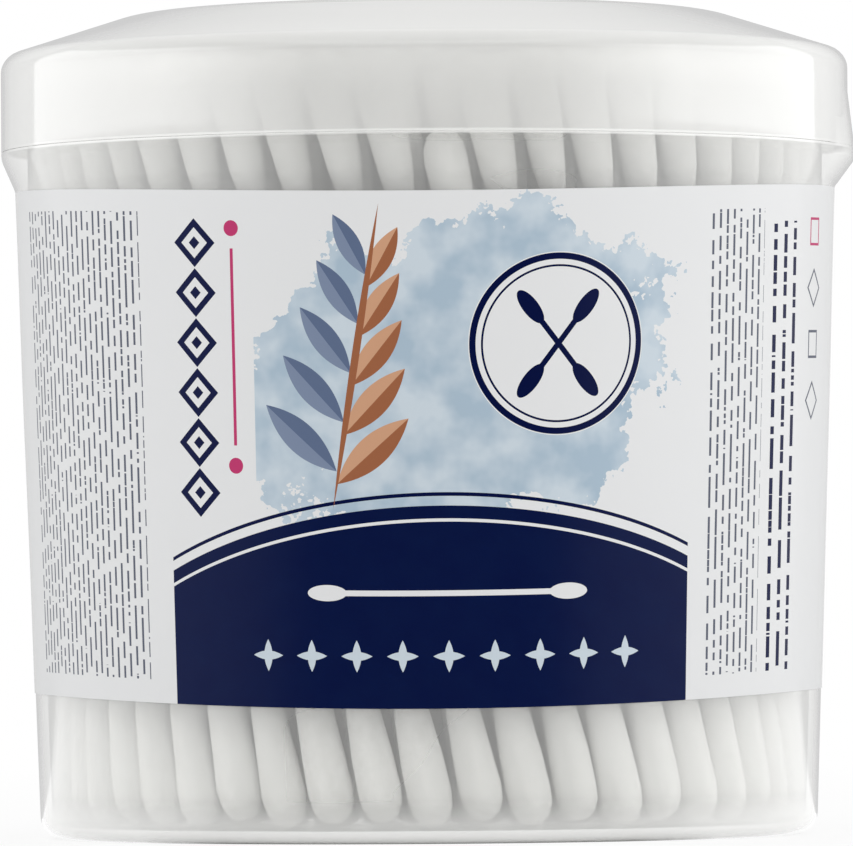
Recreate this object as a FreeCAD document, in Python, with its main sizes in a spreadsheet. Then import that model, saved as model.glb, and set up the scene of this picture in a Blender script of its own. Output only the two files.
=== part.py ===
import FreeCAD, Part
import math
import os

import Sketcher
from FreeCAD import Placement, Rotation, Vector

# Cotton swab tub, in millimetres, +Z up. The origin is the middle of the tub's flat base.
# The front of the label faces -Y, and the lid's thumb tab points along +X.

# A size is a number or an expression of other sizes. The radii are stacked outwards from the inside of
# the wall, and the heights downwards from the lid, which clears the swabs.
SIZES = [
    ("swab_length", 74.0, "from tip to tip"),
    ("short_by", 7.5, "how much shorter the short swab at the front is"),
    ("short_swab_length", "=swab_length - short_by", "the short swab at the front"),
    ("stick_diameter", 2.3, "rolled paper stick"),
    ("glue_gap", 0.05, "round the stick in its head"),
    ("cotton_start", 0.175, "thickness of the cotton where the bare stick starts"),
    ("head_base_diameter", "=stick_diameter + 2 * glue_gap + 2 * cotton_start", "cotton head at its base"),
    ("head_length", 13.5, "cotton head"),
    ("head_diameter", 4.35, "cotton head at its widest"),
    ("head_widest", 3.2, "from the tip to where the head is widest"),
    ("cotton_past_stick", 4.0, "cotton beyond the end of the stick"),
    ("bore_depth", "=head_length - cotton_past_stick", "how far the stick runs into a head"),
    ("swab_gap", 0.25, "least space between two heads of a ring"),
    ("swab_pitch", "=head_diameter + swab_gap", "least distance between two swabs of a ring"),
    ("ring_gap", 0.12, "space between the heads of two rings"),
    ("ring_spacing", "=head_diameter + ring_gap", "distance between rings at the floor"),
    ("wall_gap", 0.12, "between the outer heads and the tub"),
    ("rest_height", 0.3, "of the lowest tips above the floor"),
    ("uneven_height", 0.7, "how much higher some swabs stand"),
    ("twist_angle", 24.6, "turn of the bundle from floor to top, in degrees"),
    ("golden_angle", 137.5, "turn from one swab's unevenness to the next's, in degrees"),
    ("wall_top_radius", 39.85, "tub wall outside, where the collar starts"),
    ("wall_taper", 2.1, "how much narrower the wall is at its foot"),
    ("foot_radius", "=wall_top_radius - wall_taper", "tub wall outside, at the base"),
    ("tub_wall", 1.15, "thickness of the tub's wall"),
    ("floor_thickness", 1.2, "thickness of the tub's floor"),
    ("foot_fillet", 2.2, "rounding under the wall"),
    ("floor_fillet", 1.2, "rounding inside, between floor and wall"),
    ("neck_wall", 1.05, "thickness of the neck, which goes on upright from the inside of the wall"),
    ("neck_radius", "=wall_top_radius - tub_wall + neck_wall", "neck inside the lid's skirt"),
    ("bead_height", 0.17, "how far a snap bead stands out of its wall"),
    ("bead_round", 0.5, "radius of a bead's section"),
    ("bead_clearance", 0.06, "between the two snap beads as they pass each other"),
    ("lid_wall", 1.1, "thickness of the lid"),
    ("skirt_radius", "=neck_radius + 2 * bead_height + bead_clearance + lid_wall", "lid's skirt outside"),
    ("collar_radius", "=skirt_radius", "collar that the lid stands on, flush with the skirt"),
    ("head_room", 2.7, "least space between the swabs and the lid"),
    ("lid_top_z", "=floor_thickness + rest_height + uneven_height + swab_length + head_room + lid_wall",
     "flat top of the lid"),
    ("shoulder_drop", 4.1, "height of the shoulder's slope"),
    ("shoulder_z", "=lid_top_z - shoulder_drop", "where skirt and shoulder would meet"),
    ("shoulder_width", 12.95, "width of the shoulder's slope"),
    ("lid_flat_radius", "=skirt_radius - shoulder_width", "where shoulder and flat top would meet"),
    ("lid_corner_fillet", 1.8, "rounding between skirt and shoulder"),
    ("lid_top_fillet", 10.0, "rounding between shoulder and flat top"),
    ("neck_room", 1.3, "how far the neck ends below the shoulder's edge"),
    ("neck_top_z", "=shoulder_z - neck_room", "top of the neck"),
    ("neck_height", 7.9, "neck above the ledge"),
    ("collar_top_z", "=neck_top_z - neck_height", "ledge under the lid's rim"),
    ("seat_gap", 0.05, "between the lid's rim and the ledge"),
    ("bead_drop", 3.0, "how far the neck's snap bead lies below its top"),
    ("neck_bead_z", "=neck_top_z - bead_drop", "snap bead round the neck"),
    ("bead_step", 1.3, "how far the lid's snap bead lies below the neck's"),
    ("lid_bead_z", "=neck_bead_z - bead_step", "snap bead inside the skirt"),
    ("collar_side", 0.7, "upright edge of the collar"),
    ("collar_side_z", "=collar_top_z - collar_side", "height where the collar's flare turns upright"),
    ("flare_height", 3.2, "height of the collar's flare"),
    ("wall_top_z", "=collar_side_z - flare_height", "height where the collar starts"),
    ("collar_low_fillet", 3.0, "hollow of the flare"),
    ("collar_high_fillet", 2.0, "round of the flare"),
    ("tab_reach", 0.65, "how far the thumb tab stands out of the skirt"),
    ("tab_radius", 30.0, "radius of the tab's edge, seen from above"),
    ("tab_height", 5.5, "height of the tab above the rim"),
    ("lip_side", 1.3, "upright edge of the lip under the tab"),
    ("lip_side_z", "=collar_top_z - lip_side", "height where the lip under the tab turns upright"),
    ("label_gap", 0.04, "between the label and the wall"),
    ("label_thickness", 0.18, "label film"),
    ("label_low_z", 12.7, "label's lower edge at the front"),
    ("label_side_rise", 1.6, "how much higher both edges are at the sides"),
    ("label_margin", 0.2, "between the label's upper edge at the sides and the collar"),
    ("label_high_z", "=wall_top_z - label_margin - label_side_rise", "label's upper edge at the front"),
    ("label_lap", 7.0, "width of the lapped ends at the back"),
]

doc = FreeCAD.newDocument("cotton_swab_tub")
sheet = doc.addObject("Spreadsheet::Sheet", "Sizes")
for row, (alias, amount, meaning) in enumerate(SIZES, start=1):
    sheet.set(f"A{row}", alias)
    sheet.set(f"B{row}", str(amount))
    sheet.set(f"C{row}", meaning)
    sheet.setAlias(f"B{row}", alias)
doc.recompute()

# Derived sizes, as expressions of the sheet's cells
WALL_SLOPE = "(Sizes.wall_top_radius - Sizes.foot_radius) / Sizes.wall_top_z"
WALL_INSIDE_AT_FLOOR = f"Sizes.foot_radius + {WALL_SLOPE} * Sizes.floor_thickness - Sizes.tub_wall"
WALL_INSIDE_AT_TOP = "Sizes.wall_top_radius - Sizes.tub_wall"
NECK_INSIDE = "Sizes.neck_radius - Sizes.neck_wall"
ABOVE_NECK = "Sizes.neck_top_z + Sizes.neck_wall"
RIM_Z = "Sizes.collar_top_z + Sizes.seat_gap"
BELOW_RIM = "Sizes.collar_top_z - Sizes.lid_wall"
SKIRT_INSIDE = "Sizes.skirt_radius - Sizes.lid_wall"
SHOULDER_TAN = "((Sizes.lid_top_z - Sizes.shoulder_z) / (Sizes.skirt_radius - Sizes.lid_flat_radius))"
SHOULDER_SEC = f"sqrt(1 + {SHOULDER_TAN} * {SHOULDER_TAN})"
SHOULDER_INSIDE_Z = f"Sizes.shoulder_z + Sizes.lid_wall * ({SHOULDER_TAN} - {SHOULDER_SEC})"
LID_FLAT_INSIDE = f"Sizes.lid_flat_radius - Sizes.lid_wall * ({SHOULDER_SEC} - 1) / {SHOULDER_TAN}"
LID_CEILING = "Sizes.lid_top_z - Sizes.lid_wall"
TAB_CENTRE = "(Sizes.skirt_radius + Sizes.tab_reach - Sizes.tab_radius)"
LABEL_ARC = ("((Sizes.wall_top_radius * Sizes.wall_top_radius + Sizes.label_side_rise * Sizes.label_side_rise)"
             " / (2 * Sizes.label_side_rise))")


def size(alias):
    """Reads one driving dimension."""
    return float(sheet.get(alias))


def bind(feature, **expressions):
    """Ties a feature's properties to expressions. Two underscores stand for a dot in a property's path."""
    for name, expression in expressions.items():
        feature.setExpression(name.replace("__", "."), expression)
    return feature


# Features that both mouldings share

def origin_plane(body, role):
    """Finds one of a body's own origin planes."""
    return next(plane for plane in body.Origin.OriginFeatures if plane.Role == role)


def outline(body, name, corners):
    """Draws a closed outline in the body's XZ plane, each corner an (x, z) pair of expressions.
    A corner with an x of "0" lies on the axis, and one with a z of "0" on the base."""
    sketch = body.newObject("Sketcher::SketchObject", name)
    sketch.AttachmentSupport = (origin_plane(body, "XZ_Plane"), [""])
    sketch.MapMode = "FlatFace"
    count = len(corners)
    for k in range(count):
        ends = []
        for turn in (2 * math.pi * k / count, 2 * math.pi * (k + 1) / count):
            ends.append(Vector(math.cos(turn), math.sin(turn), 0) * size("foot_radius"))
        sketch.addGeometry(Part.LineSegment(*ends))
    for k, (across, up) in enumerate(corners):
        sketch.addConstraint(Sketcher.Constraint("Coincident", (k - 1) % count, 2, k, 1))
        for kind, axis, expression in (("DistanceX", -2, across), ("DistanceY", -1, up)):
            if expression == "0":
                sketch.addConstraint(Sketcher.Constraint("PointOnObject", k, 1, axis))
            else:
                number = sketch.addConstraint(Sketcher.Constraint(kind, -1, 1, k, 1, size("foot_radius")))
                sketch.setExpression(f"Constraints[{number}]", expression)
    return sketch


def turned(body, name, corners, kind="PartDesign::Revolution"):
    """Turns an outline full circle about the upright axis, to add or to take away material."""
    sketch = outline(body, name + "_outline", corners)
    feature = body.newObject(kind, name)
    feature.Profile = sketch
    feature.ReferenceAxis = (sketch, ["V_Axis"])
    feature.Angle = 360
    doc.recompute()
    return feature


def rounded(body, name, radius, ring_radius, height):
    """Rounds the circular edge of that radius at that height."""
    base = body.Tip
    names = []
    for number, edge in enumerate(base.Shape.Edges, start=1):
        if edge.Curve.TypeId != "Part::GeomCircle":
            continue
        if abs(edge.Curve.Radius - ring_radius) < 0.01 and abs(edge.Curve.Center.z - height) < 0.01:
            names.append(f"Edge{number}")
    if not names:
        raise RuntimeError(f"{name}: no edge of radius {ring_radius:.3f} at height {height:.3f}")
    feature = body.newObject("PartDesign::Fillet", name)
    feature.Base = (base, names)
    bind(feature, Radius=radius)
    doc.recompute()
    return feature


def added(body, kind, name, across, up, **sizes):
    """Adds a round primitive to a body, with its axis upright, moved along +X and up."""
    feature = body.newObject(kind, name)
    feature.AttachmentSupport = (origin_plane(body, "XY_Plane"), [""])
    feature.MapMode = "FlatFace"
    bind(feature, AttachmentOffset__Base__x=across, AttachmentOffset__Base__z=up, **sizes)
    doc.recompute()
    return feature


# Tub: a conical wall, a collar that flares out under the lid, and a neck that goes up inside the lid

tub = doc.addObject("PartDesign::Body", "tub")
turned(tub, "tub_outside", [
    ("0", "0"),
    ("Sizes.foot_radius", "0"),
    ("Sizes.wall_top_radius", "Sizes.wall_top_z"),
    ("Sizes.collar_radius", "Sizes.collar_side_z"),
    ("Sizes.collar_radius", "Sizes.collar_top_z"),
    ("Sizes.neck_radius", "Sizes.collar_top_z"),
    ("Sizes.neck_radius", "Sizes.neck_top_z"),
    ("0", "Sizes.neck_top_z"),
])
rounded(tub, "tub_foot_round", "Sizes.foot_fillet", size("foot_radius"), 0)
rounded(tub, "tub_flare_hollow", "Sizes.collar_low_fillet", size("wall_top_radius"), size("wall_top_z"))
rounded(tub, "tub_flare_round", "Sizes.collar_high_fillet", size("collar_radius"), size("collar_side_z"))

# The lip matches the lid's thumb tab: a cone and a cylinder off centre, of which a crescent stands out
added(tub, "PartDesign::AdditiveCone", "tub_lip_flare", TAB_CENTRE, "Sizes.wall_top_z",
      Radius1=f"Sizes.wall_top_radius - Sizes.seat_gap - {TAB_CENTRE}", Radius2="Sizes.tab_radius",
      Height="Sizes.lip_side_z - Sizes.wall_top_z")
added(tub, "PartDesign::AdditiveCylinder", "tub_lip_side", TAB_CENTRE, "Sizes.lip_side_z",
      Radius="Sizes.tab_radius", Height="Sizes.collar_top_z - Sizes.lip_side_z")
added(tub, "PartDesign::AdditiveTorus", "tub_snap_bead", "0", "Sizes.neck_bead_z",
      Radius1="Sizes.neck_radius + Sizes.bead_height - Sizes.bead_round", Radius2="Sizes.bead_round")

turned(tub, "tub_inside", [
    ("0", "Sizes.floor_thickness"),
    (WALL_INSIDE_AT_FLOOR, "Sizes.floor_thickness"),
    (WALL_INSIDE_AT_TOP, "Sizes.wall_top_z"),
    (NECK_INSIDE, "Sizes.collar_top_z"),
    (NECK_INSIDE, ABOVE_NECK),
    ("0", ABOVE_NECK),
], "PartDesign::Groove")


def wall_radius(height):
    """Outside radius of the tub's conical wall at a height."""
    slope = (size("wall_top_radius") - size("foot_radius")) / size("wall_top_z")
    return size("foot_radius") + slope * height


rounded(tub, "tub_floor_round", "Sizes.floor_fillet",
        wall_radius(size("floor_thickness")) - size("tub_wall"), size("floor_thickness"))


# Lid: an upright skirt with a thumb tab, a conical shoulder and a flat top

lid = doc.addObject("PartDesign::Body", "lid")
turned(lid, "lid_outside", [
    ("0", RIM_Z),
    ("Sizes.skirt_radius", RIM_Z),
    ("Sizes.skirt_radius", "Sizes.shoulder_z"),
    ("Sizes.lid_flat_radius", "Sizes.lid_top_z"),
    ("0", "Sizes.lid_top_z"),
])
rounded(lid, "lid_corner_round", "Sizes.lid_corner_fillet", size("skirt_radius"), size("shoulder_z"))
rounded(lid, "lid_top_round", "Sizes.lid_top_fillet", size("lid_flat_radius"), size("lid_top_z"))
added(lid, "PartDesign::AdditiveCone", "lid_thumb_tab", TAB_CENTRE, RIM_Z,
      Radius1="Sizes.tab_radius", Radius2="Sizes.tab_radius - Sizes.tab_reach - Sizes.seat_gap",
      Height="Sizes.tab_height")
turned(lid, "lid_inside", [
    ("0", BELOW_RIM),
    (SKIRT_INSIDE, BELOW_RIM),
    (SKIRT_INSIDE, SHOULDER_INSIDE_Z),
    (LID_FLAT_INSIDE, LID_CEILING),
    ("0", LID_CEILING),
], "PartDesign::Groove")
added(lid, "PartDesign::AdditiveTorus", "lid_snap_bead", "0", "Sizes.lid_bead_z",
      Radius1=f"{SKIRT_INSIDE} - Sizes.bead_height + Sizes.bead_round", Radius2="Sizes.bead_round")


# Label: a film sleeve round the conical wall, lapped at the back, with edges cut to shallow arcs

def label_cone(name, outward):
    """A cone over the tub's wall, further out by an expression."""
    cone = doc.addObject("Part::Cone", name)
    return bind(cone, Radius1=f"Sizes.foot_radius + {outward}", Radius2=f"Sizes.wall_top_radius + {outward}",
                Height="Sizes.wall_top_z")


def label_edge(name, front_z):
    """A large cylinder along Y, whose lowest line is the label's edge at the front."""
    cylinder = doc.addObject("Part::Cylinder", name)
    cylinder.Placement = Placement(Vector(), Rotation(Vector(1, 0, 0), 90))
    return bind(cylinder, Radius=LABEL_ARC, Height="4 * Sizes.wall_top_radius",
                Placement__Base__y="2 * Sizes.wall_top_radius", Placement__Base__z=f"{front_z} + {LABEL_ARC}")


def combined(kind, name, base, tool):
    """Joins two objects, or takes the second from the first, or keeps what they share."""
    feature = doc.addObject(kind, name)
    feature.Base = base
    feature.Tool = tool
    feature.Refine = True
    return feature


film_inside = label_cone("label_film_inside", "Sizes.label_gap")
film_outside = label_cone("label_film_outside", "Sizes.label_gap + Sizes.label_thickness")
lap_outside = label_cone("label_lap_outside", "Sizes.label_gap + 2 * Sizes.label_thickness")
lap_width = bind(doc.addObject("Part::Box", "label_lap_width"), Length="Sizes.label_lap",
                 Width="2 * Sizes.wall_top_radius", Height="Sizes.wall_top_z",
                 Placement__Base__x="-Sizes.label_lap / 2")
lap = combined("Part::Common", "label_lap_piece", lap_outside, lap_width)
blank = combined("Part::Fuse", "label_blank", film_outside, lap)
sleeve = combined("Part::Cut", "label_sleeve", blank, film_inside)
upper_part = combined("Part::Common", "label_above_low_edge", sleeve,
                      label_edge("label_low_edge", "Sizes.label_low_z"))
label = combined("Part::Cut", "label", upper_part, label_edge("label_high_edge", "Sizes.label_high_z"))
doc.recompute()


# Cotton head of a swab, its base at the origin and its tip up: a taper, a round tip and a bore

taper = bind(doc.addObject("Part::Cone", "head_taper"), Radius1="Sizes.head_base_diameter / 2",
             Radius2="Sizes.head_diameter / 2", Height="Sizes.head_length - Sizes.head_widest")
tip = bind(doc.addObject("Part::Ellipsoid", "head_tip"), Radius1="Sizes.head_widest",
           Radius2="Sizes.head_diameter / 2", Placement__Base__z="Sizes.head_length - Sizes.head_widest")
tip.Angle1 = 0
bore = bind(doc.addObject("Part::Cylinder", "head_bore"), Radius="Sizes.stick_diameter / 2 + Sizes.glue_gap",
            Height="Sizes.bore_depth")
head = combined("Part::Cut", "head", combined("Part::Fuse", "head_solid", taper, tip), bore)
doc.recompute()


# Swabs: they stand on the floor in rings, and the whole bundle is turned, so that each one leans

HEAD_RADIUS = size("head_diameter") / 2
TWIST = math.radians(size("twist_angle"))
FLOOR_TIP_Z = size("floor_thickness") + size("rest_height")
OUTER_LOW = (wall_radius(FLOOR_TIP_Z + size("head_widest")) - size("tub_wall")
             - HEAD_RADIUS - size("wall_gap"))
OUTER_HIGH = size("neck_radius") - size("neck_wall") - HEAD_RADIUS - size("wall_gap")
HIDDEN_STICK = size("head_length") - size("bore_depth")


def ring_count(radius):
    """How many swabs fit in a ring, at their least distance from each other, measured across the lean."""
    lean = math.asin(2 * radius * math.sin(TWIST / 2) / size("swab_length"))
    return int(2 * math.pi * radius * math.cos(lean) / size("swab_pitch"))


def swab_axis(radius, turn, lift):
    """Lower tip and direction of a swab, whose upper tip is further round the bundle and further out."""
    low = Vector(radius * math.cos(turn), radius * math.sin(turn), FLOOR_TIP_Z + lift)
    high_radius = radius * OUTER_HIGH / OUTER_LOW
    high = Vector(high_radius * math.cos(turn - TWIST), high_radius * math.sin(turn - TWIST), low.z)
    high.z += math.sqrt(size("swab_length") ** 2 - low.distanceToPoint(high) ** 2)
    return low, (high - low).normalize()


def placed_head(base, direction):
    """A cotton head with its base at a point of the stick and its tip in a direction."""
    shape = head.Shape.copy()
    shape.Placement = Placement(base, Rotation(Vector(0, 0, 1), direction))
    return shape


def group(name, solids):
    """One node that holds like pieces as separate solids."""
    feature = doc.addObject("Part::Feature", name)
    feature.Shape = Part.makeCompound(solids)
    return feature


swab_groups = []
radii = []
while OUTER_LOW - len(radii) * size("ring_spacing") > HEAD_RADIUS:
    radii.append(OUTER_LOW - len(radii) * size("ring_spacing"))
swab_number = 0
for ring, radius in enumerate(radii, start=1):
    sticks = []
    upper_heads = []
    lower_heads = []
    count = ring_count(radius)
    for k in range(count):
        swab_number += 1
        unevenness = math.sin(math.radians(swab_number * size("golden_angle")))
        lift = size("uneven_height") * (1 + unevenness) / 2
        # The first swab of the outer ring has its upper end at the front, and is the short one
        turn = TWIST - math.pi / 2 + 2 * math.pi * k / count + math.radians(size("golden_angle")) * (ring - 1)
        length = size("short_swab_length") if swab_number == 1 else size("swab_length")
        low, direction = swab_axis(radius, turn, lift)
        sticks.append(Part.makeCylinder(size("stick_diameter") / 2, length - 2 * HIDDEN_STICK,
                                        low + direction * HIDDEN_STICK, direction))
        lower_heads.append(placed_head(low + direction * size("head_length"), -direction))
        upper_heads.append(placed_head(low + direction * (length - size("head_length")), direction))
    swab_groups.append(group(f"sticks_ring_{ring}", sticks))
    swab_groups.append(group(f"upper_heads_ring_{ring}", upper_heads))
    swab_groups.append(group(f"lower_heads_ring_{ring}", lower_heads))
doc.recompute()

for item in doc.Objects:
    if "Invalid" in item.State or "Error" in item.State:
        raise RuntimeError(f"{item.Label} failed: {item.State}")
os.makedirs("parts", exist_ok=True)
for piece in [tub, lid, label] + swab_groups:
    if piece.Shape.isNull() or not piece.Shape.isValid():
        raise RuntimeError(f"{piece.Label} has no valid shape")
    piece.Shape.exportStep(f"parts/{piece.Label}.step")
    print(f"{piece.Label}: {len(piece.Shape.Solids)} solids, {piece.Shape.Volume:.1f} mm3")
print(f"{swab_number} swabs")
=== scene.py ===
import math

import bmesh
import bpy
from mathutils import Matrix, Quaternion, Vector, noise


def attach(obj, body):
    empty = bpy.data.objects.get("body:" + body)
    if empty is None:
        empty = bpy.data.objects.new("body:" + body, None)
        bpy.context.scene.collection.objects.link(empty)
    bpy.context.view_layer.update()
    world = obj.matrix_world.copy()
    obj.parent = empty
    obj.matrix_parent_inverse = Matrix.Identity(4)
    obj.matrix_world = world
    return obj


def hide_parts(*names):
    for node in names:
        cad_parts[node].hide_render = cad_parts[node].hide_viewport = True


# A round tub of cotton swabs, packed upright: milky tub, lift-off lid, wraparound label.
# Everything is in metres, +Z up. The front of the label faces -Y and the lid's thumb tab +X.
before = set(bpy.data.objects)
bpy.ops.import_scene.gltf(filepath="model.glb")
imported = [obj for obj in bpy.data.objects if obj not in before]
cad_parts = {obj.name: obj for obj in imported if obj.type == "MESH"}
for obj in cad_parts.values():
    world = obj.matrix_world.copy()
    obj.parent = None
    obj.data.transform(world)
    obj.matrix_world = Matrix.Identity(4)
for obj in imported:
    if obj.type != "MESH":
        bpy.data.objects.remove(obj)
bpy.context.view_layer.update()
MM = 0.001


# Camera
# A long lens almost a metre away, level with the lower quarter of the tub, turned up to its middle
# and rolled a little, as the photograph shows the tub's axis leaning.
PHOTO_WIDTH = 853
FOCAL_PIXELS = 9850
EYE = Vector((0, -960 * MM, 21.2 * MM))
LOOK_AT = Vector((0, 0, 40.2 * MM))
CAMERA_ROLL = math.radians(-0.4)

camera_data = bpy.data.cameras.new("camera")
camera_data.sensor_fit = "HORIZONTAL"
camera_data.sensor_width = 36
camera_data.lens = camera_data.sensor_width * FOCAL_PIXELS / PHOTO_WIDTH
camera_data.clip_start = 0.01
camera = bpy.data.objects.new("camera", camera_data)
bpy.context.scene.collection.objects.link(camera)
camera.location = EYE
camera.rotation_mode = "QUATERNION"
camera.rotation_quaternion = (LOOK_AT - EYE).to_track_quat("-Z", "Y") @ Quaternion((0, 0, 1), CAMERA_ROLL)
bpy.context.scene.camera = camera
bpy.context.scene.view_settings.view_transform = "Standard"


# Floor, background and light
# A white floor and background, two tall softboxes at the sides and a dim overhead one. The white and
# the softboxes' bright reflections come from camera, glossy and transmission rays only, so that the
# light that falls on the tub stays at a plain level.
SKY_LEVEL = 0.85
SOFTBOX_LEVELS = (0.5, 0.82)
SOFTBOX_SIZE = (0.95, 0.72)
SOFTBOX_PLACE = Vector((0.62, -0.2, 0.37))
OVERHEAD_LEVEL = 0.06
OVERHEAD_SIZE = 0.9
OVERHEAD_HEIGHT = 1.0
FRONT_REFLECTED_LEVEL = 0.15
BACK_REFLECTED_LEVEL = 0.62
SIDE_REFLECTED_LEVEL = 2.3
SIDE_REFLECTED_FROM = math.radians(32)
SIDE_REFLECTED_FULL = math.radians(74)
SIDE_REFLECTED_TO = math.radians(132)
SIDE_REFLECTED_LAST = 1.35
SIDE_REFLECTED_TOP = 0.5
FLOOR_REFLECTED_LEVEL = 1.05
FLOOR_HALF = 4.0
FLOOR_WHITE_SHARE = 0.86
FLOOR_FADE_FROM = 0.07
FLOOR_FADE_TO = 0.45


def new_material(name):
    """An empty node material and its tree."""
    material = bpy.data.materials.new(name)
    material.use_nodes = True
    material.node_tree.nodes.clear()
    return material, material.node_tree


def linked(tree, kind, **inputs):
    """Adds a node with its inputs set to numbers, colours or other nodes' sockets. An input is named,
    or numbered as i0, i1 and so on."""
    node = tree.nodes.new(kind)
    for key, given in inputs.items():
        socket = node.inputs[int(key[1:])] if key[0] == "i" and key[1:].isdigit() else node.inputs[key]
        if isinstance(given, bpy.types.NodeSocket):
            tree.links.new(given, socket)
        else:
            socket.default_value = given
    return node


def calc(tree, operation, first, second=0.0, third=0.0):
    """One step of arithmetic, as a node's output."""
    node = linked(tree, "ShaderNodeMath", i0=first, i1=second, i2=third)
    node.operation = operation
    return node.outputs[0]


def seen_directly(tree):
    """1 for camera, glossy and transmission rays, 0 for the light that falls on things."""
    path = tree.nodes.new("ShaderNodeLightPath")
    straight = calc(tree, "ADD", path.outputs["Is Camera Ray"], path.outputs["Is Transmission Ray"])
    return calc(tree, "ADD", straight, path.outputs["Is Glossy Ray"])


def studio_level(tree, vector):
    """How bright glossy rays find a place or a direction: dark in front, softboxes that fade in towards
    the sides and end sharply, and a pale backdrop behind and above."""
    parts = linked(tree, "ShaderNodeSeparateXYZ", Vector=vector)
    turn = calc(tree, "ARCTAN2", calc(tree, "ABSOLUTE", parts.outputs[0]),
                calc(tree, "MULTIPLY", parts.outputs[1], -1))
    rising = linked(tree, "ShaderNodeMapRange", i0=turn, i1=SIDE_REFLECTED_FROM, i2=SIDE_REFLECTED_FULL,
                    i3=FRONT_REFLECTED_LEVEL, i4=SIDE_REFLECTED_LEVEL)
    falling = linked(tree, "ShaderNodeMapRange", i0=turn, i1=SIDE_REFLECTED_FULL, i2=SIDE_REFLECTED_TO,
                     i3=SIDE_REFLECTED_LEVEL, i4=SIDE_REFLECTED_LAST)
    lit = calc(tree, "MULTIPLY", calc(tree, "LESS_THAN", turn, SIDE_REFLECTED_TO),
               calc(tree, "LESS_THAN", parts.outputs[2], SIDE_REFLECTED_TOP))
    above_back = calc(tree, "SUBTRACT", calc(tree, "MINIMUM", rising.outputs[0], falling.outputs[0]),
                      BACK_REFLECTED_LEVEL)
    reflected = calc(tree, "MULTIPLY_ADD", lit, above_back, BACK_REFLECTED_LEVEL - 1)
    glossy = tree.nodes.new("ShaderNodeLightPath").outputs["Is Glossy Ray"]
    return calc(tree, "MULTIPLY_ADD", glossy, reflected, 1.0)


world = bpy.data.worlds.new("studio")
bpy.context.scene.world = world
world.use_nodes = True
world.node_tree.nodes.clear()
sky_direction = world.node_tree.nodes.new("ShaderNodeTexCoord").outputs["Generated"]
backdrop_level = studio_level(world.node_tree, sky_direction)
sky = linked(world.node_tree, "ShaderNodeBackground", Color=(1, 1, 1, 1), Strength=SKY_LEVEL)
backdrop = linked(world.node_tree, "ShaderNodeBackground", Color=(1, 1, 1, 1), Strength=backdrop_level)
sky_mix = linked(world.node_tree, "ShaderNodeMixShader", i0=seen_directly(world.node_tree),
                 i1=sky.outputs[0], i2=backdrop.outputs[0])
linked(world.node_tree, "ShaderNodeOutputWorld", Surface=sky_mix.outputs[0])

floor_material, floor_tree = new_material("floor_paper")
floor_paper = linked(floor_tree, "ShaderNodeBsdfDiffuse", Color=(0.87, 0.87, 0.87, 1))
floor_place = floor_tree.nodes.new("ShaderNodeTexCoord").outputs["Object"]
floor_level = calc(floor_tree, "MINIMUM", studio_level(floor_tree, floor_place), FLOOR_REFLECTED_LEVEL)
floor_white = linked(floor_tree, "ShaderNodeEmission", Color=(1, 1, 1, 1), Strength=floor_level)
from_tub = linked(floor_tree, "ShaderNodeVectorMath", i0=floor_place)
from_tub.operation = "LENGTH"
floor_fade = linked(floor_tree, "ShaderNodeMapRange", i0=from_tub.outputs["Value"], i1=FLOOR_FADE_FROM,
                    i2=FLOOR_FADE_TO, i3=FLOOR_WHITE_SHARE, i4=1.0)
floor_share = calc(floor_tree, "MULTIPLY", seen_directly(floor_tree), floor_fade.outputs[0])
floor_mix = linked(floor_tree, "ShaderNodeMixShader", i0=floor_share, i1=floor_paper.outputs[0],
                   i2=floor_white.outputs[0])
linked(floor_tree, "ShaderNodeOutputMaterial", Surface=floor_mix.outputs[0])


def finished(bm, name, material):
    """Makes a smooth-shaded piece from a bmesh whose faces already point outwards."""
    mesh = bpy.data.meshes.new(name)
    bm.to_mesh(mesh)
    bm.free()
    mesh.shade_smooth()
    mesh.materials.append(material)
    piece = bpy.data.objects.new(name, mesh)
    bpy.context.scene.collection.objects.link(piece)
    return piece


floor_bm = bmesh.new()
bmesh.ops.create_grid(floor_bm, x_segments=1, y_segments=1, size=FLOOR_HALF)
finished(floor_bm, "floor", floor_material)


def softbox(name, place, turn, width, height, level):
    """A rectangular lamp at a place. It lights the tub, and the world shows its reflection."""
    lamp = bpy.data.lights.new(name, "AREA")
    lamp.shape = "RECTANGLE"
    lamp.size = width
    lamp.size_y = height
    lamp.energy = level * math.pi * width * height
    holder = bpy.data.objects.new(name, lamp)
    holder.location = place
    holder.rotation_euler = turn
    holder.visible_glossy = False
    bpy.context.scene.collection.objects.link(holder)


for side, name, level in ((-1, "softbox_left", SOFTBOX_LEVELS[0]), (1, "softbox_right", SOFTBOX_LEVELS[1])):
    softbox(name, Vector((side * SOFTBOX_PLACE.x, SOFTBOX_PLACE.y, SOFTBOX_PLACE.z)),
            (math.pi / 2, 0, side * math.pi / 2), SOFTBOX_SIZE[0], SOFTBOX_SIZE[1], level)
softbox("softbox_overhead", Vector((0, 0, OVERHEAD_HEIGHT)), (0, 0, 0), OVERHEAD_SIZE, OVERHEAD_SIZE,
        OVERHEAD_LEVEL)


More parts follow.
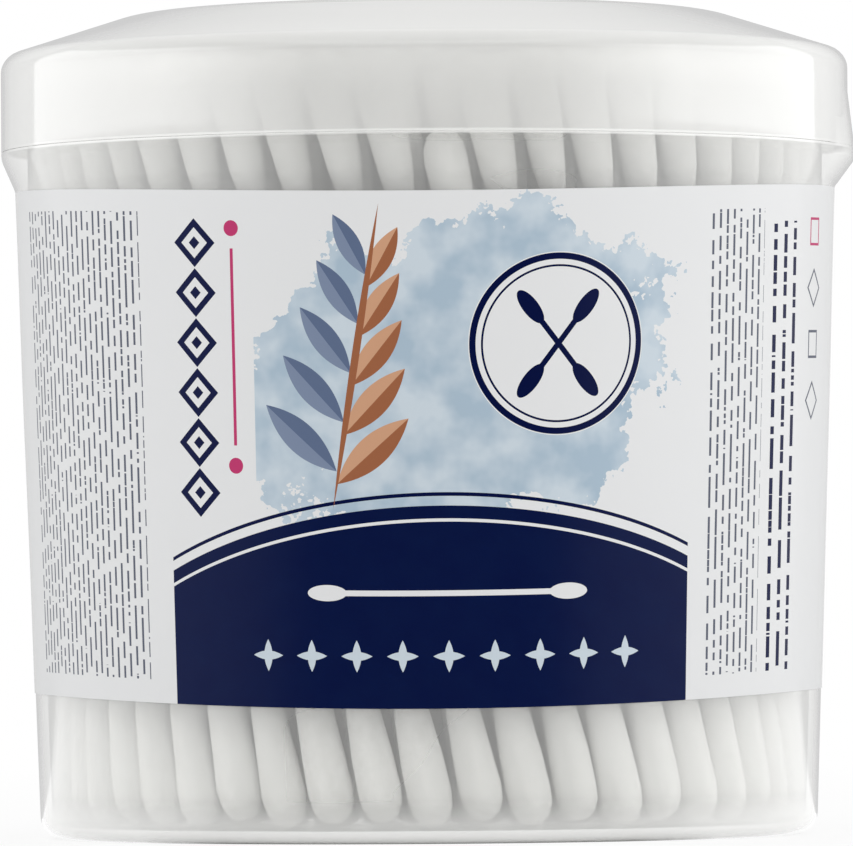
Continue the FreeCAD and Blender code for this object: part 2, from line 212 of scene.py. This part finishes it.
# Tub
# One injection moulding of natural, milky polypropylene: a conical wall, a flat floor, a collar that
# flares out under the lid and a neck with a snap bead inside the lid's skirt.
FOOT_RADIUS = 37.75 * MM
WALL_TOP_RADIUS = 39.85 * MM
WALL_TOP_Z = 62.8 * MM
TUB_WALL = 1.15 * MM
FLOOR_THICKNESS = 1.2 * MM
COLLAR_RADIUS = 41.25 * MM
COLLAR_SIDE_Z = 66.0 * MM
COLLAR_TOP_Z = 66.7 * MM
NECK_RADIUS = 39.75 * MM
NECK_WALL = 1.05 * MM
NECK_TOP_Z = 74.6 * MM
NECK_BEAD_Z = 71.6 * MM
BEAD_HEIGHT = 0.17 * MM
TAB_REACH = 0.65 * MM
TAB_RADIUS = 30.0 * MM
LIP_SIDE_Z = 65.4 * MM
TURN_STEPS = 300
ROUND_STEPS = 6


def turned_wall(corners, steps=TURN_STEPS):
    """A closed moulding turned about the tub's axis. Each corner is (radius, height, rounding), and the
    rounding is how far from the corner it starts. The first and last corners lie on the axis."""
    bm = bmesh.new()
    row = [bm.verts.new((radius, 0, height)) for radius, height, rounding in corners]
    for start, end in zip(row, row[1:]):
        bm.edges.new((start, end))
    for vertex, (radius, height, rounding) in zip(row, corners):
        if rounding:
            bmesh.ops.bevel(bm, geom=[vertex], offset=rounding, segments=ROUND_STEPS, profile=0.5,
                            affect="VERTICES", material=-1)
    bmesh.ops.spin(bm, geom=bm.verts[:] + bm.edges[:], cent=(0, 0, 0), axis=(0, 0, 1), dvec=(0, 0, 0),
                   angle=2 * math.pi, steps=steps, use_merge=True)
    bmesh.ops.remove_doubles(bm, verts=bm.verts[:], dist=0.001 * MM)
    bmesh.ops.recalc_face_normals(bm, faces=bm.faces[:])
    return bm


def pulled_out(bm, low_z, side_z, high_z, low_radius, side_radius, high_radius, outside):
    """Moves the outer surface between two heights out to a round edge whose middle is off the axis,
    so that a crescent stands out towards +X. Its radius goes from low to side to high."""
    centre = COLLAR_RADIUS + TAB_REACH - TAB_RADIUS
    for vertex in bm.verts:
        x, y, z = vertex.co
        radius = math.hypot(x, y)
        if z < low_z or z > high_z or radius < outside(z) or x <= 0:
            continue
        if z < side_z:
            edge = low_radius + (side_radius - low_radius) * (z - low_z) / (side_z - low_z)
        else:
            edge = side_radius + (high_radius - side_radius) * (z - side_z) / max(high_z - side_z, MM * MM)
        across = centre * y / radius
        reach = centre * x / radius + math.sqrt(max(edge * edge - across * across, 0))
        if reach > radius:
            vertex.co.xy *= reach / radius


def wall_radius(z):
    """Outside radius of the conical wall at a height."""
    return FOOT_RADIUS + (WALL_TOP_RADIUS - FOOT_RADIUS) * z / WALL_TOP_Z


LET_BY = 0.985


def milky_plastic(name, milkiness, gloss_roughness, white_edges):
    """Thin natural polypropylene, glossy outside for what sees it directly. A wall's milkiness lies on
    the face where light goes in, and grows as it crosses at a slant. It takes little from the light that
    falls in, as what the plastic scatters still goes on. It is whiter near the given heights, each
    with how far the white reaches and how thick it is, where the plastic is thick or has an edge."""
    material, tree = new_material(name)
    place = tree.nodes.new("ShaderNodeTexCoord").outputs["Object"]
    height = linked(tree, "ShaderNodeSeparateXYZ", Vector=place).outputs[2]
    clouds = linked(tree, "ShaderNodeTexNoise", Vector=place, Scale=55.0, Detail=1.0)
    density = linked(tree, "ShaderNodeMapRange", i0=clouds.outputs[0], i1=0.3, i2=0.7, i3=milkiness * 0.93,
                     i4=milkiness * 1.07).outputs[0]
    for edge_z, reach, strength in white_edges:
        distance = calc(tree, "ABSOLUTE", calc(tree, "SUBTRACT", height, edge_z))
        nearness = linked(tree, "ShaderNodeMapRange", i0=distance, i1=reach, i2=reach * 0.3, i3=0.0,
                          i4=strength)
        nearness.interpolation_type = "SMOOTHSTEP"
        density = calc(tree, "ADD", density, nearness.outputs[0])
    slant = linked(tree, "ShaderNodeLayerWeight", Blend=0.5).outputs["Facing"]
    squareness = calc(tree, "SUBTRACT", 1.0, slant)
    crossed = calc(tree, "DIVIDE", density, calc(tree, "MAXIMUM", squareness, 0.05))
    front = calc(tree, "SUBTRACT", 1.0, tree.nodes.new("ShaderNodeNewGeometry").outputs["Backfacing"])
    whiteness = calc(tree, "SUBTRACT", 1.0, calc(tree, "EXPONENT", calc(tree, "MULTIPLY", crossed, -1)))
    veil = calc(tree, "MULTIPLY", whiteness, front)
    clear = linked(tree, "ShaderNodeBsdfTransparent", Color=(0.995, 0.995, 0.99, 1))
    milk = linked(tree, "ShaderNodeBsdfDiffuse", Color=(0.93, 0.93, 0.915, 1))
    body = linked(tree, "ShaderNodeMixShader", i0=veil, i1=clear.outputs[0], i2=milk.outputs[0])
    ripple = linked(tree, "ShaderNodeTexNoise", Vector=place, Scale=140.0, Detail=0.0)
    relief = linked(tree, "ShaderNodeBump", Strength=0.05, Distance=0.2 * MM, Height=ripple.outputs[0])
    gloss = linked(tree, "ShaderNodeBsdfGlossy", Color=(1, 1, 1, 1), Roughness=gloss_roughness,
                   Normal=relief.outputs[0])
    both_faces = calc(tree, "MULTIPLY", linked(tree, "ShaderNodeFresnel", IOR=1.49).outputs[0], 1.7)
    glossy_face = calc(tree, "MULTIPLY", front, seen_directly(tree))
    shine = calc(tree, "MINIMUM", calc(tree, "MULTIPLY", both_faces, glossy_face), 1.0)
    skin = linked(tree, "ShaderNodeMixShader", i0=shine, i1=body.outputs[0], i2=gloss.outputs[0])
    let_by = linked(tree, "ShaderNodeBsdfTransparent", Color=(LET_BY, LET_BY, LET_BY, 1))
    falling_in = tree.nodes.new("ShaderNodeLightPath").outputs["Is Shadow Ray"]
    whole = linked(tree, "ShaderNodeMixShader", i0=falling_in, i1=skin.outputs[0], i2=let_by.outputs[0])
    linked(tree, "ShaderNodeOutputMaterial", Surface=whole.outputs[0])
    return material


tub_bm = turned_wall([
    (0, 0, 0),
    (FOOT_RADIUS, 0, 2.1 * MM),
    (WALL_TOP_RADIUS, WALL_TOP_Z, 0.6 * MM),
    (COLLAR_RADIUS, COLLAR_SIDE_Z, 0.45 * MM),
    (COLLAR_RADIUS, COLLAR_TOP_Z, 0.08 * MM),
    (NECK_RADIUS, COLLAR_TOP_Z, 0.15 * MM),
    (NECK_RADIUS, NECK_BEAD_Z - 0.4 * MM, 0.1 * MM),
    (NECK_RADIUS + BEAD_HEIGHT, NECK_BEAD_Z, 0.2 * MM),
    (NECK_RADIUS, NECK_BEAD_Z + 0.4 * MM, 0.1 * MM),
    (NECK_RADIUS, NECK_TOP_Z, 0.25 * MM),
    (NECK_RADIUS - NECK_WALL, NECK_TOP_Z, 0.25 * MM),
    (NECK_RADIUS - NECK_WALL, COLLAR_TOP_Z, 0.2 * MM),
    (WALL_TOP_RADIUS - TUB_WALL, WALL_TOP_Z, 0.2 * MM),
    (wall_radius(FLOOR_THICKNESS) - TUB_WALL, FLOOR_THICKNESS, 1.2 * MM),
    (0, FLOOR_THICKNESS, 0),
])
pulled_out(tub_bm, WALL_TOP_Z, LIP_SIDE_Z, COLLAR_TOP_Z, TAB_RADIUS - 2.1 * MM, TAB_RADIUS, TAB_RADIUS,
           lambda z: wall_radius(z) - 0.3 * MM)
tub_plastic = milky_plastic("milky_tub", 0.33, 0.09, [(0, 4.2 * MM, 0.6), (COLLAR_TOP_Z, 0.3 * MM, 1.0)])
tub = finished(tub_bm, "swab_tub", tub_plastic)
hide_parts("tub")
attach(tub, "tub")


# Swab sticks
# Tightly rolled white paper, one for each swab. The solids have the right shape and keep their nodes,
# with the fine spiral seam of the rolled strip.
RINGS = 8
stick_material, stick_tree = new_material("rolled_paper")
stick_place = stick_tree.nodes.new("ShaderNodeTexCoord").outputs["Object"]
seam = linked(stick_tree, "ShaderNodeTexWave", Vector=stick_place, Scale=260.0, Distortion=1.5, Detail=2.0)
seam.bands_direction = "Z"
fibre = linked(stick_tree, "ShaderNodeTexNoise", Vector=stick_place, Scale=1400.0, Detail=2.0)
paper_tint = linked(stick_tree, "ShaderNodeMapRange", i0=fibre.outputs[0], i1=0.2, i2=0.8, i3=0.86, i4=0.94)
paper_colour = linked(stick_tree, "ShaderNodeCombineColor", i0=paper_tint.outputs[0],
                      i1=paper_tint.outputs[0], i2=paper_tint.outputs[0])
paper_relief = linked(stick_tree, "ShaderNodeBump", Strength=0.25, Distance=0.05 * MM, Height=seam.outputs[1])
paper = linked(stick_tree, "ShaderNodeBsdfPrincipled", **{"Base Color": paper_colour.outputs[0]},
               Roughness=0.75, Normal=paper_relief.outputs[0])
linked(stick_tree, "ShaderNodeOutputMaterial", Surface=paper.outputs[0])
for ring in range(1, RINGS + 1):
    stick_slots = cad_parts[f"sticks_ring_{ring}"].material_slots
    for stick_slot in stick_slots:
        stick_slot.material = stick_material


# Cotton heads
# Bleached cotton wound onto both ends of each stick: fullest near the round tip, tapering to the bare
# stick, soft and slightly lumpy. Each head follows its own stick's line.
HEAD_LENGTH = 13.5 * MM
COTTON_PAST_STICK = 4.0 * MM
HEAD_OUTLINE = [(0, -1.2), (1.1, -1.1), (1.73, 2.6), (2.04, 7.0), (2.2, 10.3), (2.03, 11.8), (1.5, 12.9),
                (0.75, 13.4), (0, 13.5)]
HEAD_SIDES = 12
LUMP_SIZE = 3.2 * MM
LUMP_SHARE = 0.07
LUMP_LEVEL = 0.3
SQUEEZE = 0.03

cotton_material, cotton_tree = new_material("wound_cotton")
cotton_place = cotton_tree.nodes.new("ShaderNodeTexCoord").outputs["Object"]
tufts = linked(cotton_tree, "ShaderNodeTexNoise", Vector=cotton_place, Scale=900.0, Detail=2.0, Roughness=0.7)
cotton_tint = linked(cotton_tree, "ShaderNodeValToRGB", Fac=tufts.outputs[0])
cotton_tint.color_ramp.elements[0].position = 0.3
cotton_tint.color_ramp.elements[0].color = (0.89, 0.89, 0.87, 1)
cotton_tint.color_ramp.elements[1].position = 0.7
cotton_tint.color_ramp.elements[1].color = (0.96, 0.96, 0.945, 1)
cotton_relief = linked(cotton_tree, "ShaderNodeBump", Strength=0.5, Distance=0.15 * MM,
                       Height=tufts.outputs[0])
cotton = linked(cotton_tree, "ShaderNodeBsdfPrincipled", **{"Base Color": cotton_tint.outputs[0]},
                Roughness=0.95, Normal=cotton_relief.outputs[0])
cotton.inputs["Sheen Weight"].default_value = 0.25
cotton.inputs["Specular IOR Level"].default_value = 0.0
linked(cotton_tree, "ShaderNodeOutputMaterial", Surface=cotton.outputs[0])

head_bm = bmesh.new()
head_row = [head_bm.verts.new((radius * MM, 0, height * MM)) for radius, height in HEAD_OUTLINE]
for start, end in zip(head_row, head_row[1:]):
    head_bm.edges.new((start, end))
bmesh.ops.spin(head_bm, geom=head_bm.verts[:] + head_bm.edges[:], cent=(0, 0, 0), axis=(0, 0, 1),
               dvec=(0, 0, 0), angle=2 * math.pi, steps=HEAD_SIDES, use_merge=True)
bmesh.ops.remove_doubles(head_bm, verts=head_bm.verts[:], dist=0.001 * MM)
bmesh.ops.recalc_face_normals(head_bm, faces=head_bm.faces[:])
head_shape = bpy.data.meshes.new("head_shape")
head_bm.to_mesh(head_shape)
head_bm.free()


def stick_ends(node):
    """The lower and upper end of every stick in a node, from the rings of corners at its ends."""
    bm = bmesh.new()
    bm.from_mesh(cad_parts[node].data)
    bmesh.ops.remove_doubles(bm, verts=bm.verts[:], dist=0.001 * MM)
    ends = []
    waiting = set(bm.verts)
    while waiting:
        island = [waiting.pop()]
        for vertex in island:
            for edge in vertex.link_edges:
                other = edge.other_vert(vertex)
                if other in waiting:
                    waiting.remove(other)
                    island.append(other)
        middle = sum(vertex.co.z for vertex in island) / len(island)
        lower = [vertex.co.copy() for vertex in island if vertex.co.z < middle]
        upper = [vertex.co.copy() for vertex in island if vertex.co.z >= middle]
        ends.append((sum(lower, Vector()) / len(lower), sum(upper, Vector()) / len(upper)))
    bm.free()
    return sorted(ends, key=lambda pair: (round(pair[0].x, 6), round(pair[0].y, 6)))


def add_head(bm, base, direction, seed):
    """Adds one cotton head with its own lumps and squeeze."""
    first = len(bm.verts)
    bm.from_mesh(head_shape)
    bm.verts.ensure_lookup_table()
    fresh = bm.verts[first:]
    shift = Vector((seed * 0.37, seed * 0.73, seed * 0.19))
    for vertex in fresh:
        lump = noise.noise(vertex.co / LUMP_SIZE + shift)
        vertex.co.xy *= 1 + LUMP_SHARE * (lump - LUMP_LEVEL)
    place = Matrix.Translation(base) @ direction.to_track_quat("Z", "Y").to_matrix().to_4x4()
    place = place @ Matrix.Rotation(seed * 2.4, 4, "Z") @ Matrix.Diagonal((1 + SQUEEZE, 1 - SQUEEZE, 1, 1))
    bmesh.ops.transform(bm, matrix=place, verts=fresh)


for ring in range(1, RINGS + 1):
    upper_bm = bmesh.new()
    lower_bm = bmesh.new()
    for number, (low_end, high_end) in enumerate(stick_ends(f"sticks_ring_{ring}")):
        along = (high_end - low_end).normalized()
        to_base = along * (HEAD_LENGTH - COTTON_PAST_STICK)
        add_head(upper_bm, high_end - to_base, along, 100 * ring + number)
        add_head(lower_bm, low_end + to_base, -along, 100 * ring + number + 50)
    for end, head_bm in (("upper", upper_bm), ("lower", lower_bm)):
        heads = finished(head_bm, f"cotton_{end}_ring_{ring}", cotton_material)
        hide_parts(f"{end}_heads_ring_{ring}")
        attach(heads, "tub")


# Lid
# The same milky polypropylene, thinner and cloudier: an upright skirt with a snap bead and a thumb tab,
# a conical shoulder and a flat top. It snaps over the neck and stands on the collar.
SEAT_GAP = 0.02 * MM
LID_WALL = 1.1 * MM
SHOULDER_Z = 75.9 * MM
LID_TOP_Z = 80.0 * MM
LID_FLAT_RADIUS = 28.3 * MM
LID_BEAD_Z = 70.3 * MM
TAB_HEIGHT = 5.5 * MM
rim_z = COLLAR_TOP_Z + SEAT_GAP
skirt_inside = COLLAR_RADIUS - LID_WALL
shoulder_slope = (LID_TOP_Z - SHOULDER_Z) / (COLLAR_RADIUS - LID_FLAT_RADIUS)
shoulder_stretch = math.hypot(1, shoulder_slope)

lid_bm = turned_wall([
    (0, LID_TOP_Z, 0),
    (LID_FLAT_RADIUS, LID_TOP_Z, 1.6 * MM),
    (COLLAR_RADIUS, SHOULDER_Z, 1.4 * MM),
    (COLLAR_RADIUS, rim_z + TAB_HEIGHT, 0.2 * MM),
    (COLLAR_RADIUS, rim_z + TAB_HEIGHT / 2, 0.2 * MM),
    (COLLAR_RADIUS, rim_z, 0.06 * MM),
    (skirt_inside, rim_z, 0.12 * MM),
    (skirt_inside, LID_BEAD_Z - 0.4 * MM, 0.1 * MM),
    (skirt_inside - BEAD_HEIGHT, LID_BEAD_Z, 0.2 * MM),
    (skirt_inside, LID_BEAD_Z + 0.4 * MM, 0.1 * MM),
    (skirt_inside, SHOULDER_Z + LID_WALL * (shoulder_slope - shoulder_stretch), 0.5 * MM),
    (LID_FLAT_RADIUS - LID_WALL * (shoulder_stretch - 1) / shoulder_slope, LID_TOP_Z - LID_WALL, 1.6 * MM),
    (0, LID_TOP_Z - LID_WALL, 0),
])
pulled_out(lid_bm, rim_z - SEAT_GAP, rim_z - SEAT_GAP, rim_z + TAB_HEIGHT, TAB_RADIUS, TAB_RADIUS,
           TAB_RADIUS - TAB_REACH, lambda z: COLLAR_RADIUS - 0.2 * MM)
lid_plastic = milky_plastic("milky_lid", 0.8, 0.07, [(rim_z, 0.28 * MM, 2.0)])
lid = finished(lid_bm, "swab_lid", lid_plastic)
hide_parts("lid")
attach(lid, "lid")


# Label
# One strip of satin printed film wrapped round the wall and lapped at the back, its edges a little
# higher at the sides than at the front. It stands slightly off the wall where it isn't glued.
# The print is plain ornament: leaves, crossed swabs, lozenges, fine rules and fields of colour.
LABEL_GAP = 0.04 * MM
LABEL_THICKNESS = 0.18 * MM
LABEL_LOW_Z = 12.7 * MM
LABEL_HIGH_Z = 61.0 * MM
LABEL_SIDE_RISE = 1.6 * MM
LABEL_LAP = 7.0 * MM
LABEL_SLACK = 0.05 * MM
label_arc = (WALL_TOP_RADIUS ** 2 + LABEL_SIDE_RISE ** 2) / (2 * LABEL_SIDE_RISE)
label_height = LABEL_HIGH_Z - LABEL_LOW_Z
lap_turn = LABEL_LAP / WALL_TOP_RADIUS
strip_radius = wall_radius((LABEL_LOW_Z + LABEL_HIGH_Z) / 2)

label_bm = bmesh.new()
bmesh.ops.create_grid(label_bm, x_segments=420, y_segments=20, size=0.5)
strip_place = label_bm.verts.layers.float_vector.new("strip_place")
for vertex in label_bm.verts:
    turn = 2 * vertex.co.x * (math.pi + lap_turn / 2)
    share = vertex.co.y + 0.5
    vertex[strip_place] = (turn * strip_radius / MM, share * label_height / MM, 0)
    middle_z = LABEL_LOW_Z + label_height * share
    side = wall_radius(middle_z) * math.sin(turn)
    height = middle_z + label_arc - math.sqrt(label_arc ** 2 - side ** 2)
    over = min(max((turn - math.pi + lap_turn) / (lap_turn / 2), 0), 1)
    loose = 1 + noise.noise(Vector((3 * math.sin(turn), 3 * math.cos(turn), 60 * height)))
    radius = wall_radius(height) + LABEL_GAP + over * 1.2 * LABEL_THICKNESS + LABEL_SLACK * loose
    vertex.co = (radius * math.sin(turn), -radius * math.cos(turn), height)
bmesh.ops.solidify(label_bm, geom=label_bm.faces[:], thickness=-LABEL_THICKNESS)
bmesh.ops.recalc_face_normals(label_bm, faces=label_bm.faces[:])

# Places in the print are millimetres along the strip from the middle of the front, and up from its edge
WHITE_INK = (0.76, 0.765, 0.77, 1)
NAVY_INK = (0.0005, 0.004, 0.046, 1)
WORN_NAVY_INK = (0.003, 0.014, 0.066, 1)
WASH_INK = (0.58, 0.655, 0.715, 1)
DEEP_WASH_INK = (0.39, 0.495, 0.59, 1)
SLATE_INK = (0.20, 0.25, 0.36, 1)
DEEP_SLATE_INK = (0.11, 0.15, 0.25, 1)
TAN_INK = (0.33, 0.12, 0.055, 1)
PALE_TAN_INK = (0.60, 0.33, 0.20, 1)
ROSE_INK = (0.50, 0.04, 0.15, 1)
GREY_INK = (0.11, 0.12, 0.16, 1)
label_material, label_tree = new_material("printed_film")
strip = label_tree.nodes.new("ShaderNodeAttribute")
strip.attribute_name = "strip_place"
strip_parts = linked(label_tree, "ShaderNodeSeparateXYZ", Vector=strip.outputs["Vector"])
ALONG = strip_parts.outputs[0]
UP = strip_parts.outputs[1]


def ink(operation, first, second=0.0, third=0.0):
    """One step of arithmetic on places in the print."""
    return calc(label_tree, operation, first, second, third)


def both(*masks):
    """Where all the masks hold."""
    whole = masks[0]
    for mask in masks[1:]:
        whole = ink("MULTIPLY", whole, mask)
    return whole


def either(*masks):
    """Where any of the masks holds."""
    whole = masks[0]
    for mask in masks[1:]:
        whole = ink("MAXIMUM", whole, mask)
    return whole


def between(amount, low, high):
    """Where an amount lies between two numbers."""
    return ink("COMPARE", amount, (low + high) / 2, (high - low) / 2)


def measured_from(along, up, degrees=0.0):
    """Distances from a point of the print, along and across a direction."""
    right = ink("SUBTRACT", ALONG, along)
    rise = ink("SUBTRACT", UP, up)
    if degrees == 0:
        return right, rise
    lean = math.radians(degrees)
    forward = ink("MULTIPLY_ADD", right, math.cos(lean), ink("MULTIPLY", rise, math.sin(lean)))
    across = ink("MULTIPLY_ADD", rise, math.cos(lean), ink("MULTIPLY", right, -math.sin(lean)))
    return forward, across


def oval(place, half_length, half_width):
    """Squared distance from the middle of an oval, 1 on its edge."""
    forward = ink("DIVIDE", place[0], half_length)
    across = ink("DIVIDE", place[1], half_width)
    return ink("MULTIPLY_ADD", forward, forward, ink("MULTIPLY", across, across))


def leaf(place, half_length, half_width):
    """A pointed leaf."""
    forward = ink("DIVIDE", place[0], half_length)
    across = ink("DIVIDE", ink("ABSOLUTE", place[1]), half_width)
    return ink("LESS_THAN", ink("MULTIPLY_ADD", forward, forward, across), 1.0)


def swab_figure(place, half_length, thickness):
    """A plain outline of a swab: a thin stick with an oval at each end."""
    reach = ink("ABSOLUTE", place[0])
    stick = both(ink("LESS_THAN", reach, half_length - 2 * thickness),
                 ink("LESS_THAN", ink("ABSOLUTE", place[1]), thickness * 0.28))
    head_place = (ink("SUBTRACT", reach, half_length - 2 * thickness), place[1])
    return either(stick, ink("LESS_THAN", oval(head_place, 2 * thickness, thickness * 0.8), 1.0))


def printed(ground, mask, colour):
    """Prints a colour over the ground where the mask holds."""
    mix = label_tree.nodes.new("ShaderNodeMix")
    mix.data_type = "RGBA"
    label_tree.links.new(mask, mix.inputs[0])
    for socket, given in ((mix.inputs[6], ground), (mix.inputs[7], colour)):
        if isinstance(given, bpy.types.NodeSocket):
            label_tree.links.new(given, socket)
        else:
            socket.default_value = given
    return mix.outputs[2]


def mottle(scale, detail=3.0):
    """Even noise over the print, with its features a number of times to the millimetre."""
    return linked(label_tree, "ShaderNodeTexNoise", Vector=strip.outputs["Vector"], Scale=scale,
                  Detail=detail).outputs[0]


def fine_rules(first, last, bottom, top, pitch, weight, seed):
    """Broken rules that run up the label, as close as small print and as long as words."""
    count_along = ink("DIVIDE", ink("SUBTRACT", ALONG, first), pitch)
    number = ink("FLOOR", count_along)
    rule = ink("LESS_THAN", ink("ABSOLUTE", ink("SUBTRACT", ink("FRACT", count_along), 0.5)), weight / 2)
    shift = ink("MULTIPLY_ADD", number, 37.7, seed)
    breaks = label_tree.nodes.new("ShaderNodeTexNoise")
    breaks.noise_dimensions = "1D"
    breaks.inputs["Detail"].default_value = 2.0
    breaks.inputs["Scale"].default_value = 1.0
    label_tree.links.new(ink("MULTIPLY_ADD", UP, 0.8, shift), breaks.inputs["W"])
    return both(rule, ink("GREATER_THAN", breaks.outputs[0], 0.45), between(ALONG, first, last),
                between(UP, bottom, top))


# Ground and the pale wash behind the motifs, with a brushed edge
art = printed(WHITE_INK, ink("MULTIPLY", mottle(0.5), 0.05), (0.8, 0.82, 0.84, 1))
wash_shape = ink("SUBTRACT", oval(measured_from(3, 31, 14), 22, 14.5), 0.95)
wash_edge = ink("MULTIPLY_ADD", mottle(0.16, 5.0), 1.9, wash_shape)
brushed = ink("MULTIPLY_ADD", mottle(1.5, 2.0), 0.5, ink("SUBTRACT", wash_edge, 0.25))
wash_mask = ink("LESS_THAN", brushed, 1.0)
wash_depth = linked(label_tree, "ShaderNodeMapRange", i0=mottle(0.2), i1=0.38, i2=0.62, i3=0.0, i4=1.0)
wash_tone = printed(WASH_INK, wash_depth.outputs[0], DEEP_WASH_INK)
art = printed(art, both(wash_mask, between(ALONG, -16.5, 26.2)), wash_tone)

# Navy field with a low arched top, edged by two thin lines
ARCH_MIDDLE = 1.5
ARCH_RADIUS = 62.0
ARCH_TOP = 19.0
FIELD_FROM = -26.0
FIELD_TO = 26.8
from_middle = ink("SUBTRACT", ALONG, ARCH_MIDDLE)
arch = ink("SQRT", ink("SUBTRACT", ARCH_RADIUS ** 2, ink("MULTIPLY", from_middle, from_middle)))
over_arch = ink("SUBTRACT", UP, ink("ADD", arch, ARCH_TOP - ARCH_RADIUS))
field_width = between(ALONG, FIELD_FROM, FIELD_TO)
art = printed(art, both(field_width, between(over_arch, 0.9, 1.25)), NAVY_INK)
navy_tone = printed(NAVY_INK, ink("MULTIPLY", mottle(0.3), 0.5), WORN_NAVY_INK)
art = printed(art, both(field_width, ink("LESS_THAN", over_arch, 0.0)), navy_tone)
art = printed(art, both(field_width, between(over_arch, -1.5, -1.2)), WHITE_INK)

# Spray of slender leaves, slate on one side and tan on the other, each leaf dark on one half and pale on the
# other
SPRAY_FOOT = 21.0
SPRAY_LEAN = 0.16
for step in range(5):
    up = SPRAY_FOOT + 4.6 * step
    root = -8.5 + SPRAY_LEAN * (up - SPRAY_FOOT)
    half_length = 4.6 - 0.35 * step
    for way, dark, light in ((1, TAN_INK, PALE_TAN_INK), (-1, DEEP_SLATE_INK, SLATE_INK)):
        degrees = 90 - way * (48 - 5 * step)
        lean = math.radians(degrees)
        middle = (root + half_length * math.cos(lean), up + 1.2 * (way < 0) + half_length * math.sin(lean))
        place = measured_from(*middle, degrees)
        leaf_tone = printed(dark, ink("GREATER_THAN", place[1], 0.0), light)
        art = printed(art, leaf(place, half_length, 1.45 - 0.1 * step), leaf_tone)
stem_place = measured_from(-8.5 + SPRAY_LEAN * 12, SPRAY_FOOT + 12, 90 - math.degrees(math.atan(SPRAY_LEAN)))
art = printed(art, leaf(stem_place, 14.5, 0.36), TAN_INK)

# Round badge with two crossed swabs
BADGE = (12.5, 34.0)
badge_distance = ink("SQRT", oval(measured_from(*BADGE), 1.0, 1.0))
art = printed(art, ink("LESS_THAN", badge_distance, 8.6), WHITE_INK)
art = printed(art, either(between(badge_distance, 7.9, 8.5), between(badge_distance, 7.2, 7.4)), NAVY_INK)
for degrees in (52, 128):
    art = printed(art, swab_figure(measured_from(*BADGE, degrees), 6.3, 0.95), NAVY_INK)

# On the field: one long swab and a row of small four-leaved flowers
art = printed(art, swab_figure(measured_from(2.0, 10.8), 13.5, 0.95), WHITE_INK)
FLOWER_PITCH = 4.4
flower_place = (ink("WRAP", ink("SUBTRACT", ALONG, 2.0), FLOWER_PITCH / 2, -FLOWER_PITCH / 2),
                ink("SUBTRACT", UP, 4.9))
flower = either(leaf(flower_place, 1.5, 0.42), leaf((flower_place[1], flower_place[0]), 1.5, 0.42))
art = printed(art, both(flower, between(ALONG, 2.0 - 4.5 * FLOWER_PITCH, 2.0 + 4.5 * FLOWER_PITCH)), WASH_INK)

# Upright chain of lozenges, a thin rose line and its two dots
LOZENGE_PITCH = 4.7
LOZENGE_ALONG = -22.6
link_up = ink("WRAP", ink("SUBTRACT", UP, 20.0), LOZENGE_PITCH / 2, -LOZENGE_PITCH / 2)
lozenge = ink("ADD", ink("DIVIDE", ink("ABSOLUTE", ink("SUBTRACT", ALONG, LOZENGE_ALONG)), 2.3),
              ink("DIVIDE", ink("ABSOLUTE", link_up), LOZENGE_PITCH / 2))
links = either(between(lozenge, 0.62, 0.98), ink("LESS_THAN", lozenge, 0.26))
art = printed(art, both(links, between(UP, 20.0 - LOZENGE_PITCH / 2, 20.0 + 5.5 * LOZENGE_PITCH)), NAVY_INK)
ROSE_ALONG = -18.6
rose_line = both(between(ALONG, ROSE_ALONG - 0.16, ROSE_ALONG + 0.16), between(UP, 24.5, 43.0))
art = printed(art, rose_line, ROSE_INK)
for up in (22.6, 44.9):
    art = printed(art, ink("LESS_THAN", oval(measured_from(ROSE_ALONG, up), 0.75, 0.75), 1.0), ROSE_INK)

# Fine broken rules at both sides, as small print stands on such a label
art = printed(art, fine_rules(-50.0, -29.3, 2.2, 46.4, 0.92, 0.3, 3.1), GREY_INK)
art = printed(art, fine_rules(29.0, 37.0, 2.2, 46.2, 0.95, 0.3, 8.4), GREY_INK)
art = printed(art, fine_rules(38.0, 44.0, 2.2, 45.0, 1.95, 0.34, 5.7), NAVY_INK)
for step, up in enumerate((44.0, 38.6, 33.2, 27.8)):
    place = measured_from(48.0, up, 45 * (step % 2))
    size_of_mark = ink("MAXIMUM", ink("ABSOLUTE", place[0]), ink("ABSOLUTE", place[1]))
    art = printed(art, between(size_of_mark, 1.1, 1.35), ROSE_INK if step == 0 else GREY_INK)

film_normal = linked(label_tree, "ShaderNodeVectorMath",
                     i0=label_tree.nodes.new("ShaderNodeNewGeometry").outputs["Normal"],
                     i1=label_tree.nodes.new("ShaderNodeTexCoord").outputs["Object"])
film_normal.operation = "DOT_PRODUCT"
art = printed(WHITE_INK, ink("GREATER_THAN", film_normal.outputs["Value"], 0.0), art)
film_ripple = linked(label_tree, "ShaderNodeTexNoise", Vector=strip.outputs["Vector"], Scale=0.25, Detail=0.0)
film_relief = linked(label_tree, "ShaderNodeBump", Strength=0.12, Distance=0.3 * MM,
                     Height=film_ripple.outputs[0])
film = linked(label_tree, "ShaderNodeBsdfPrincipled", **{"Base Color": art}, Roughness=0.22,
              Normal=film_relief.outputs[0])
film.inputs["Specular IOR Level"].default_value = 0.1
linked(label_tree, "ShaderNodeOutputMaterial", Surface=film.outputs[0])
label = finished(label_bm, "wrap_label", label_material)
label.data.set_sharp_from_angle(angle=math.radians(40))
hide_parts("label")
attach(label, "tub")
